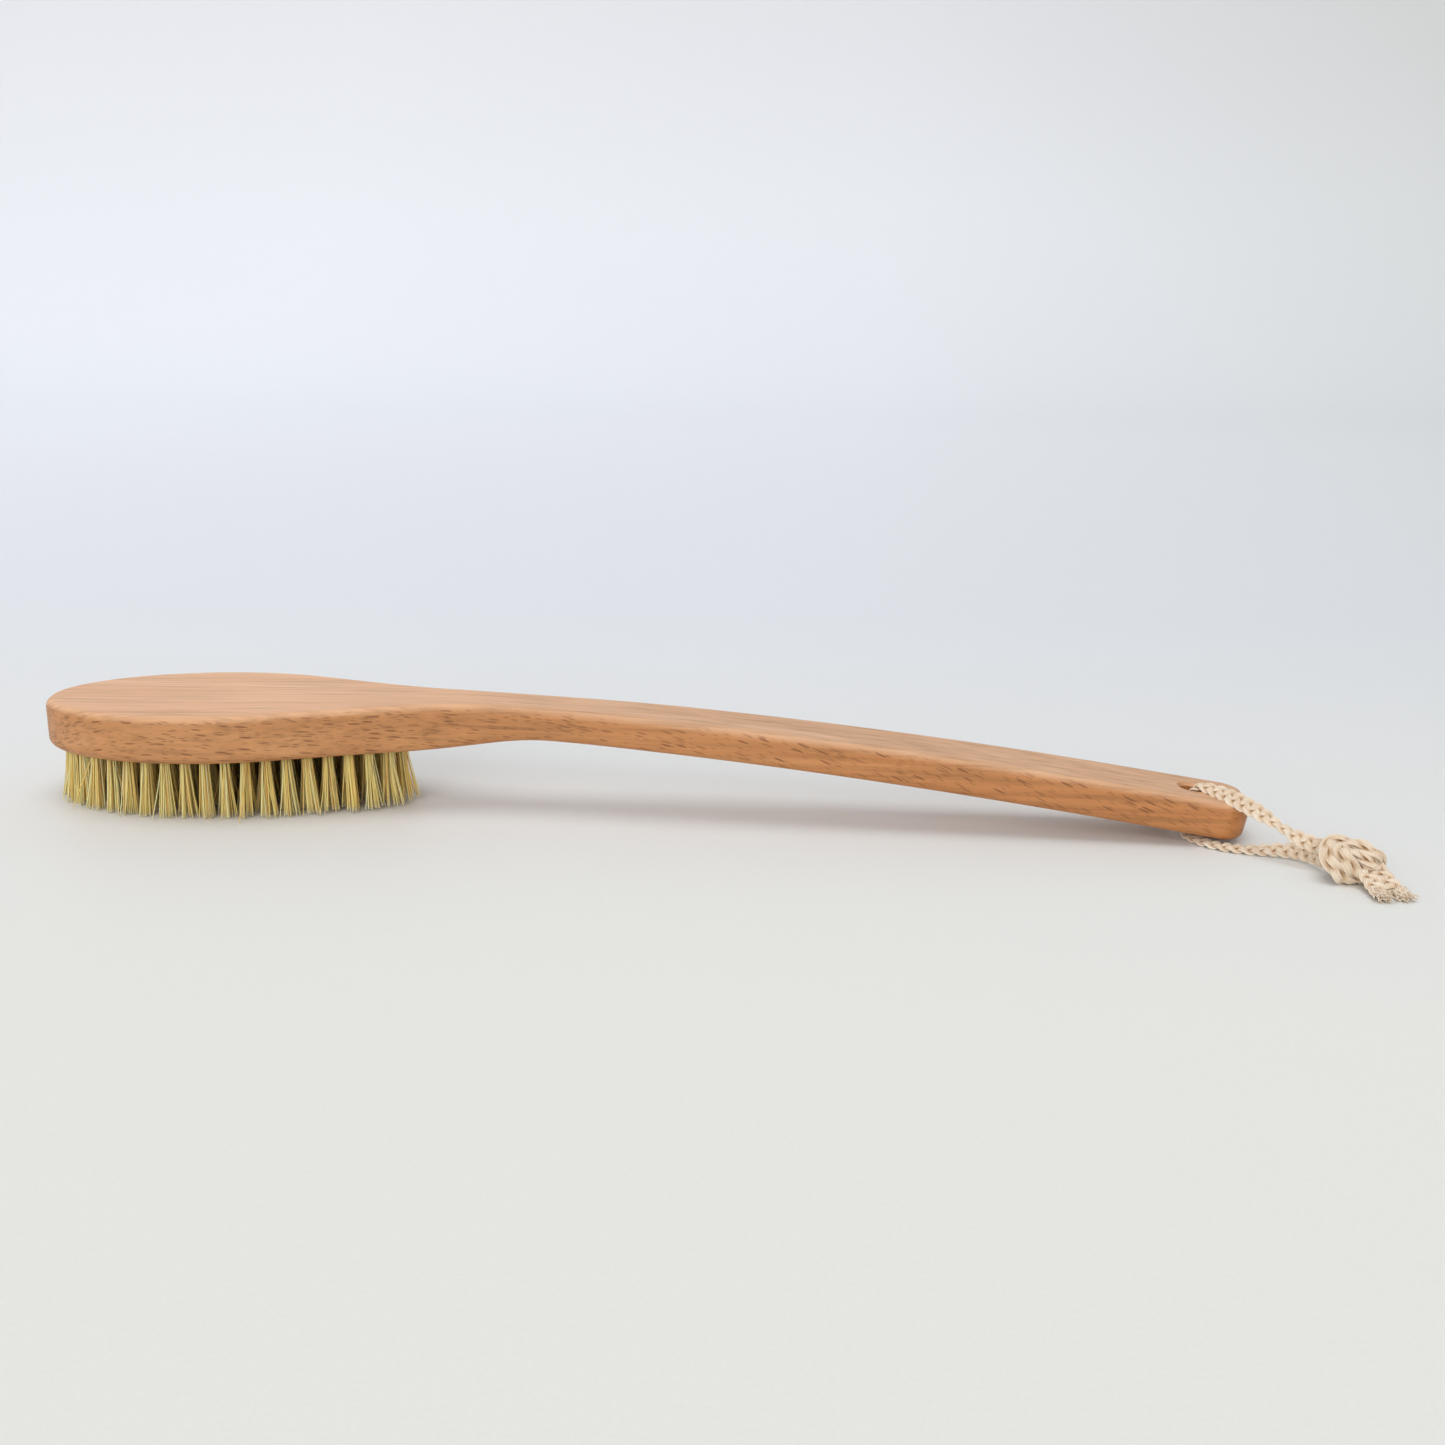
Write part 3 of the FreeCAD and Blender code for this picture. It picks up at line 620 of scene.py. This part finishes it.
def yarn_line(route, strand, yarn, start):
    """A yarn's own line in the plait, for every sample of the route."""
    angle = 2 * math.pi * (route.turns + start + strand / STRANDS)
    spread = (yarn - (YARNS_PER_STRAND - 1) / 2) * YARN_SPACING
    sideways = (STRAND_SWING * np.sin(angle) + spread) * route.size[:, 0]
    lift = STRAND_LIFT * np.sin(2 * angle) * route.size[:, 1]
    lift = lift - STRAND_CROWN * (2 * spread / YARN_SPACING / YARNS_PER_STRAND) ** 2
    line = route.centre + route.side * sideways[:, None] + route.face * lift[:, None]
    floor = YARN_RADIUS * (1 + PLY_DEPTH) + CORD_GAP
    line[:, 2] = np.maximum(line[:, 2], floor)
    return line


def outwardness(route, keep, ring):
    """1 on the outside of the cord, falling to 0 in the hollows between its strands; the cotton paints
    shade there.
    """
    away = ring - route.centre[keep][:, None, :]
    sideways = np.sum(away * route.side[keep][:, None, :], axis=2) / (CORD_WIDTH / 2)
    lifted = np.sum(away * route.face[keep][:, None, :], axis=2) / (STRAND_LIFT + YARN_RADIUS)
    sideways = sideways / route.size[keep, :1]
    lifted = lifted / route.size[keep, 1:2]
    return np.clip(np.hypot(sideways, lifted), 0, 1)


def on_the_outside(ring):
    """The same attribute for hairs and frayed ends, which have no hollows between them."""
    return np.ones(ring.shape[:2])


def plait(soup, route, start, low, high):
    """The plait's yarns between two lengths along the route."""
    keep = (route.at >= low - ROUNDING) & (route.at <= high + ROUNDING)
    for strand in range(STRANDS):
        tone = rng.uniform(0.4, 0.7)
        for yarn in range(YARNS_PER_STRAND):
            line = yarn_line(route, strand, yarn, start)[keep]
            turn = 2 * math.pi * route.at[keep] / PLY_PITCH + rng.uniform(0, 6)
            shade = min(max(tone + rng.normal(0, 0.16), 0), 1)
            soup.tube(line, YARN_RADIUS, route.face[keep], YARN_SIDES, shade, PLY_DEPTH, turn,
                      lambda ring: outwardness(route, keep, ring))


def fuzz(soup, route, low, high):
    """Short loose hairs that stand off the cord."""
    for _ in range(int((high - low) / MM * FUZZ_PER_MM)):
        i = int(rng.uniform(low, high) / route.length * (len(route.at) - 1))
        angle = rng.uniform(0, 2 * math.pi)
        out = route.side[i] * math.cos(angle) + route.face[i] * math.sin(angle)
        root = (route.centre[i]
                + route.side[i] * math.cos(angle) * CORD_WIDTH * FUZZ_ROOT_SHARE * route.size[i, 0]
                + route.face[i] * math.sin(angle) * FUZZ_ROOT_LIFT)
        t = np.linspace(0, 1, FUZZ_STEPS)[:, None]
        drift = route.onward[i] * rng.normal(0, 0.9) + rng.normal(0, 0.35, 3)
        reach = rng.uniform(*FUZZ_REACH) * MM
        line = root + out * t * reach + drift * t * t * reach
        line[:, 2] = np.maximum(line[:, 2], FUZZ_GAP)
        across = np.cross(out, route.onward[i]) * np.ones((FUZZ_STEPS, 1))
        soup.tube(line, FUZZ_RADIUS, across, FUZZ_SIDES, 0.9, outer=on_the_outside)


def fray(soup, route, start, low):
    """Each yarn of a tail opens into fine wandering ends, which together stay as broad as it."""
    keep = route.at >= low
    share = ((route.at[keep] - low) / (route.length - low))[:, None]
    blend = share * share * (3 - 2 * share)
    centre, side, face = route.centre[keep], route.side[keep], route.face[keep]
    for strand in range(STRANDS):
        for yarn in range(YARNS_PER_STRAND):
            line = yarn_line(route, strand, yarn, start)[keep]
            over = np.clip((line[0] - centre[0]) @ side[0] / FRAY_HALF_WIDTH, -1, 1)
            for _ in range(FRAY_FIBRES):
                u = np.clip(over * 0.8 + rng.normal(0, 0.3), -1.15, 1.15)
                v = rng.uniform(-1, 1) * math.sqrt(max(0.1, 1 - min(abs(u), 1) ** 2))
                end = centre + side * u * FRAY_HALF_WIDTH + face * v * FRAY_HALF_HEIGHT
                root = rng.normal(0, FRAY_SCATTER, 3) * MM
                swirl = np.sin(share * rng.uniform(3, 8) + rng.uniform(0, 6))
                swirl = swirl * rng.normal(0, FRAY_SWIRL, 3) * share * MM
                moved = (line + root) * (1 - blend) + end * blend + swirl
                moved[:, 2] = np.maximum(moved[:, 2], FRAY_GAP)
                last = int(len(line) * rng.uniform(0.62, 1.0))
                tone = min(max(rng.normal(0.5, 0.35), 0), 1)
                soup.tube(moved[:last], FRAY_RADIUS, face[:last], FRAY_SIDES, tone,
                          outer=on_the_outside)


def make_loop(material):
    """Both legs, the knot and the two frayed tails."""
    cords = (("upper", "right", UPPER_LEG, pair_route(-1)), ("lower", "left", LOWER_LEG, pair_route(1)))
    knots = Soup()
    for leg_name, tail_name, stations, pair in cords:
        route = leg_route(stations, pair.centre[0], pair.face[0])
        soup = Soup()
        plait(soup, route, 0.0, 0.0, route.length)
        fuzz(soup, route, FUZZ_START, route.length)
        leg = soup.piece(f"plaited_{leg_name}_leg", material, "hanging_loop", "cotton_cord")
        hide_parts(f"cord_{leg_name}_leg")
        tail_start = pair.length - TAIL_LENGTH
        fray_start = pair.length - FRAY_LENGTH
        plait(knots, pair, route.turns[-1], 0.0, tail_start)
        fuzz(knots, pair, 0.0, tail_start)
        soup = Soup()
        plait(soup, pair, route.turns[-1], tail_start, fray_start)
        fray(soup, pair, route.turns[-1], fray_start)
        tail = soup.piece(f"frayed_{tail_name}_tail", material, "hanging_loop", "cotton_cord")
        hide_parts(f"cord_{tail_name}_tail")
    knot = knots.piece("overhand_knot", material, "hanging_loop", "cotton_cord")
    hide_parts("cord_knot")


# ---------------------------------------------------------------- stage

def sweep(material):
    """Floor that curves up into a backdrop far behind the brush."""
    profile = [(PAPER_FRONT, 0.0), (SWEEP_START, 0.0)]
    for n in range(1, SWEEP_STEPS + 1):
        angle = math.radians(90 * n / SWEEP_STEPS)
        profile.append((SWEEP_START + SWEEP_RADIUS * math.sin(angle),
                        SWEEP_RADIUS * (1 - math.cos(angle))))
    profile.append((SWEEP_START + SWEEP_RADIUS, PAPER_TOP))
    points = [(x, y, z) for y, z in profile for x in (-PAPER_HALF_WIDTH, PAPER_HALF_WIDTH)]
    faces = [(2 * i, 2 * i + 1, 2 * i + 3, 2 * i + 2) for i in range(len(profile) - 1)]
    mesh = bpy.data.meshes.new("paper_sweep")
    mesh.from_pydata(points, [], faces)
    mesh.polygons.foreach_set("use_smooth", [True] * len(mesh.polygons))
    mesh.materials.append(material)
    made = bpy.data.objects.new("paper_sweep", mesh)
    bpy.context.scene.collection.objects.link(made)


def sun(name, tilt, turn, strength, spread):
    """Soft directional light, tilted from overhead towards the camera and turned about Z."""
    light = bpy.data.lights.new(name, "SUN")
    light.energy = strength
    light.angle = math.radians(spread)
    made = bpy.data.objects.new(name, light)
    made.rotation_euler = (math.radians(tilt), 0.0, math.radians(turn))
    bpy.context.scene.collection.objects.link(made)


def surroundings():
    """Even grey light from all round, a little cooler and brighter on the left."""
    world = bpy.data.worlds.new("studio")
    world.use_nodes = True
    tree = world.node_tree
    coords = tree.nodes.new("ShaderNodeTexCoord")
    axes = tree.nodes.new("ShaderNodeSeparateXYZ")
    ramp = tree.nodes.new("ShaderNodeValToRGB")
    spread = tree.nodes.new("ShaderNodeMapRange")
    spread.inputs[1].default_value = -1.0
    ramp.color_ramp.elements[0].color = (0.48, 0.49, 0.51, 1.0)
    ramp.color_ramp.elements[1].color = (0.40, 0.40, 0.40, 1.0)
    tree.links.new(coords.outputs["Generated"], axes.inputs[0])
    tree.links.new(axes.outputs[0], spread.inputs[0])
    tree.links.new(spread.outputs[0], ramp.inputs[0])
    tree.links.new(ramp.outputs[0], tree.nodes["Background"].inputs[0])
    bpy.context.scene.world = world


def light_and_camera():
    surroundings()
    sun("overhead", tilt=4.0, turn=0.0, strength=0.95, spread=40.0)
    sun("window", tilt=64.0, turn=-12.0, strength=1.2, spread=50.0)
    camera = bpy.data.cameras.new("camera")
    camera.sensor_width = FRAME_WIDTH
    camera.lens = FRAME_WIDTH * FOCAL_SHARE
    camera.clip_start = 0.01
    made = bpy.data.objects.new("camera", camera)
    made.location = CAMERA_PLACE
    made.rotation_euler = (math.radians(90 - CAMERA_DOWN), 0.0, math.radians(CAMERA_TURN))
    scene = bpy.context.scene
    scene.collection.objects.link(made)
    scene.camera = made
    scene.view_settings.view_transform = "Standard"


def dress_frame():
    """Wood and wire looks for the CAD nodes that are shown as they are."""
    beech = beech_material()
    wire = wire_material()
    for name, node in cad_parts.items():
        if name == "brush_body":
            node.data.materials.clear()
            node.data.materials.append(beech)
        elif name.startswith("anchors_"):
            node.data.materials.clear()
            node.data.materials.append(wire)


light_and_camera()
sweep(paper_material())
dress_frame()
make_loop(cotton_material())
grow_tufts(fibre_material())
